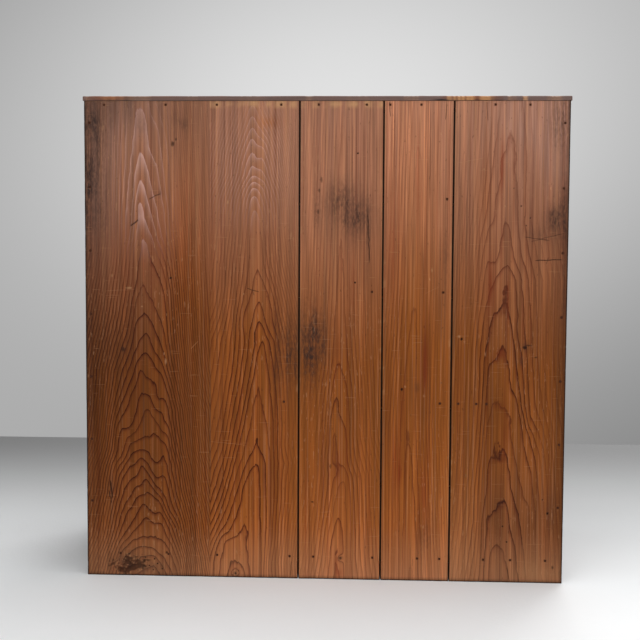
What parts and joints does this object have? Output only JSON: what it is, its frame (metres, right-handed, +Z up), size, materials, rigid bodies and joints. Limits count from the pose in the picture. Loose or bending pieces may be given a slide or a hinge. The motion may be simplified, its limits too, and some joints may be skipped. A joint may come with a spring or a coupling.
{
  "type": "tansu chest",
  "caption": "Low square wooden tansu chest with plain nailed board back, long and short drawers with iron bail pulls, and a small panelled door on iron hinges.",
  "frame": {"origin": "on the floor, under the middle of the whole chest with its pulls", "axes": "+Z up, -Y towards the person who opens the drawers, +Y out of the board back, +X to that person's right"},
  "size_m": [0.912, 0.4415, 0.915],
  "materials": {
    "aged_cedar": "dry, aged",
    "plain_cedar": "dry, planed",
    "dark_lacquered_cedar": "thin worn lacquer",
    "pale_paulownia": "bare, planed",
    "black_iron": "blackened"
  },
  "bodies": {
    "carcass": {"right_side": "dark_lacquered_cedar", "left_side": "dark_lacquered_cedar", "top_board": "dark_lacquered_cedar", "base_rail": "dark_lacquered_cedar", "bottom_board": "plain_cedar", "shelf_1": "plain_cedar", "shelf_2": "plain_cedar", "shelf_3": "plain_cedar", "short_shelf": "plain_cedar", "partition": "plain_cedar", "door_stop": "plain_cedar", "back_board_1": "aged_cedar", "back_board_2": "aged_cedar", "back_board_3": "aged_cedar", "back_board_4": "aged_cedar", "back_board_5": "aged_cedar", "back_nails": "black_iron", "door_hinge_fixed_leaves": "black_iron", "door_hinge_pins": "black_iron"},
    "drawer_1": {"drawer_1_front": "dark_lacquered_cedar", "drawer_1_sides": "pale_paulownia", "drawer_1_back": "pale_paulownia", "drawer_1_bottom": "pale_paulownia", "drawer_1_pull_eyes": "black_iron"},
    "drawer_1_bail_1": {"drawer_1_bail_1": "black_iron"},
    "drawer_1_bail_2": {"drawer_1_bail_2": "black_iron"},
    "drawer_2": {"drawer_2_front": "dark_lacquered_cedar", "drawer_2_sides": "pale_paulownia", "drawer_2_back": "pale_paulownia", "drawer_2_bottom": "pale_paulownia", "drawer_2_pull_eyes": "black_iron"},
    "drawer_2_bail_1": {"drawer_2_bail_1": "black_iron"},
    "drawer_2_bail_2": {"drawer_2_bail_2": "black_iron"},
    "drawer_3": {"drawer_3_front": "dark_lacquered_cedar", "drawer_3_sides": "pale_paulownia", "drawer_3_back": "pale_paulownia", "drawer_3_bottom": "pale_paulownia", "drawer_3_pull_eyes": "black_iron"},
    "drawer_3_bail_1": {"drawer_3_bail_1": "black_iron"},
    "drawer_3_bail_2": {"drawer_3_bail_2": "black_iron"},
    "small_drawer_upper": {"small_drawer_upper_front": "dark_lacquered_cedar", "small_drawer_upper_sides": "pale_paulownia", "small_drawer_upper_back": "pale_paulownia", "small_drawer_upper_bottom": "pale_paulownia", "small_drawer_upper_pull_eyes": "black_iron"},
    "small_drawer_upper_bail_1": {"small_drawer_upper_bail_1": "black_iron"},
    "small_drawer_lower": {"small_drawer_lower_front": "dark_lacquered_cedar", "small_drawer_lower_sides": "pale_paulownia", "small_drawer_lower_back": "pale_paulownia", "small_drawer_lower_bottom": "pale_paulownia", "small_drawer_lower_pull_eyes": "black_iron"},
    "small_drawer_lower_bail_1": {"small_drawer_lower_bail_1": "black_iron"},
    "door": {"door_stiles": "dark_lacquered_cedar", "door_rails": "dark_lacquered_cedar", "door_panel": "dark_lacquered_cedar", "door_hinge_leaves": "black_iron", "door_ring_eye": "black_iron"},
    "door_ring": {"door_ring": "black_iron"}
  },
  "joints": [
    {"name": "drawer_1_slide", "type": "slide", "parent": "carcass", "child": "drawer_1", "axis": [0, -1, 0], "range_m": [0, 0.32]},
    {"name": "drawer_1_bail_1_swing", "type": "hinge", "parent": "drawer_1", "child": "drawer_1_bail_1", "pos_m": [-0.25, -0.21525, 0.82088], "axis": [-1, 0, 0], "range_deg": [0, 170]},
    {"name": "drawer_1_bail_2_swing", "type": "hinge", "parent": "drawer_1", "child": "drawer_1_bail_2", "pos_m": [0.25, -0.21525, 0.82088], "axis": [-1, 0, 0], "range_deg": [0, 170]},
    {"name": "drawer_2_slide", "type": "slide", "parent": "carcass", "child": "drawer_2", "axis": [0, -1, 0], "range_m": [0, 0.32]},
    {"name": "drawer_2_bail_1_swing", "type": "hinge", "parent": "drawer_2", "child": "drawer_2_bail_1", "pos_m": [-0.25, -0.21525, 0.64684], "axis": [-1, 0, 0], "range_deg": [0, 170]},
    {"name": "drawer_2_bail_2_swing", "type": "hinge", "parent": "drawer_2", "child": "drawer_2_bail_2", "pos_m": [0.25, -0.21525, 0.64684], "axis": [-1, 0, 0], "range_deg": [0, 170]},
    {"name": "drawer_3_slide", "type": "slide", "parent": "carcass", "child": "drawer_3", "axis": [0, -1, 0], "range_m": [0, 0.32]},
    {"name": "drawer_3_bail_1_swing", "type": "hinge", "parent": "drawer_3", "child": "drawer_3_bail_1", "pos_m": [-0.25, -0.21525, 0.45506], "axis": [-1, 0, 0], "range_deg": [0, 170]},
    {"name": "drawer_3_bail_2_swing", "type": "hinge", "parent": "drawer_3", "child": "drawer_3_bail_2", "pos_m": [0.25, -0.21525, 0.45506], "axis": [-1, 0, 0], "range_deg": [0, 170]},
    {"name": "small_drawer_upper_slide", "type": "slide", "parent": "carcass", "child": "small_drawer_upper", "axis": [0, -1, 0], "range_m": [0, 0.32]},
    {"name": "small_drawer_upper_bail_1_swing", "type": "hinge", "parent": "small_drawer_upper", "child": "small_drawer_upper_bail_1", "pos_m": [-0.19854, -0.21525, 0.2762], "axis": [-1, 0, 0], "range_deg": [0, 170]},
    {"name": "small_drawer_lower_slide", "type": "slide", "parent": "carcass", "child": "small_drawer_lower", "axis": [0, -1, 0], "range_m": [0, 0.32]},
    {"name": "small_drawer_lower_bail_1_swing", "type": "hinge", "parent": "small_drawer_lower", "child": "small_drawer_lower_bail_1", "pos_m": [-0.19854, -0.21525, 0.128], "axis": [-1, 0, 0], "range_deg": [0, 170]},
    {"name": "door_hinge", "type": "hinge", "parent": "carcass", "child": "door", "pos_m": [0.43275, -0.20725, 0.1927], "axis": [0, 0, 1], "range_deg": [0, 170]},
    {"name": "door_ring_swing", "type": "hinge", "parent": "door", "child": "door_ring", "pos_m": [0.07591, -0.21525, 0.1927], "axis": [-1, 0, 0], "range_deg": [0, 170]}
  ]
}
